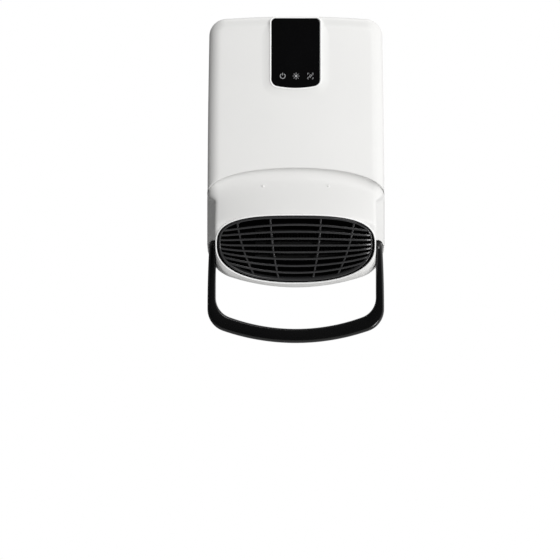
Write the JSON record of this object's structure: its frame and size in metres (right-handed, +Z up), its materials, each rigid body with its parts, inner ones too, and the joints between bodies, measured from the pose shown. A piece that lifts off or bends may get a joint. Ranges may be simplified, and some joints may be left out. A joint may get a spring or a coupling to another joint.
{
  "type": "bathroom wall fan heater",
  "caption": "Slim white bathroom fan heater for the wall, with a black touch display, an oval downward outlet grille and a swinging black hanging rail.",
  "frame": {"origin": "centre of the wall bracket's four holes, in the plane of the wall", "axes": "+X to the right of someone facing the heater, +Y into the wall, +Z up; the front faces -Y"},
  "size_m": [0.24, 0.1217, 0.439],
  "materials": {
    "shell_white": "satin white moulding",
    "grille_black": "fine satin",
    "window_black": "high gloss",
    "rail_black": "satin gloss",
    "dark_plastic": "plain",
    "cream_plastic": "plain",
    "amber_plastic": "plain",
    "relay_blue": "plain",
    "zinc_steel": "zinc plated",
    "lamination_steel": "bare",
    "heater_aluminium": "mill",
    "bush_brass": "plain",
    "mount_rubber": "matt",
    "coil_copper": "enamelled wire under tape",
    "board_green": "solder resist"
  },
  "bodies": {
    "body": {"rear_housing": "shell_white", "front_cover": "shell_white", "lower_cover": "shell_white", "display_bezel": "shell_white", "display_window": "window_black", "display_board": "board_green", "digit_display": "dark_plastic", "touch_contacts": "zinc_steel", "remote_receiver": "dark_plastic", "buzzer": "dark_plastic", "outlet_grille": "grille_black", "screw_plugs": "shell_white", "case_screws": "zinc_steel", "wall_bracket": "zinc_steel", "rail_bolts": "zinc_steel", "rail_friction_washers": "dark_plastic", "rail_spring_washers": "zinc_steel", "rail_nuts": "zinc_steel", "rail_brackets": "zinc_steel", "rail_bracket_screws": "zinc_steel", "fan_scroll": "dark_plastic", "scroll_screws": "zinc_steel", "end_bush": "bush_brass", "end_bush_mount": "mount_rubber", "motor_stator": "lamination_steel", "motor_coil": "coil_copper", "motor_brackets": "zinc_steel", "motor_bushes": "bush_brass", "motor_screws": "zinc_steel", "heater_element": "heater_aluminium", "heater_frame": "dark_plastic", "thermostat": "cream_plastic", "thermal_fuse": "zinc_steel", "control_board": "board_green", "board_screws": "zinc_steel", "relays": "relay_blue", "power_supply": "cream_plastic", "capacitor": "amber_plastic", "terminal_block": "cream_plastic", "cable_grommet": "mount_rubber", "cable_clamp": "cream_plastic", "switch_body": "dark_plastic"},
    "hanging_rail": {"rail": "rail_black", "rail_caps": "rail_black"},
    "fan_rotor": {"fan_impeller": "dark_plastic", "fan_shaft": "zinc_steel", "motor_rotor": "lamination_steel"},
    "rocker": {"switch_rocker": "dark_plastic"}
  },
  "joints": [
    {"name": "rail_swing", "type": "hinge", "parent": "body", "child": "hanging_rail", "pos_m": [0, -0.058, -0.1895], "axis": [-1, 0, 0], "range_deg": [0, 90]},
    {"name": "fan_spin", "type": "hinge", "parent": "body", "child": "fan_rotor", "pos_m": [0, -0.04799, -0.165], "axis": [1, 0, 0], "continuous": true},
    {"name": "switch_rock", "type": "hinge", "parent": "body", "child": "rocker", "pos_m": [0.11476, -0.021, -0.112], "axis": [0, 1, 0], "range_deg": [-16, 0]}
  ]
}
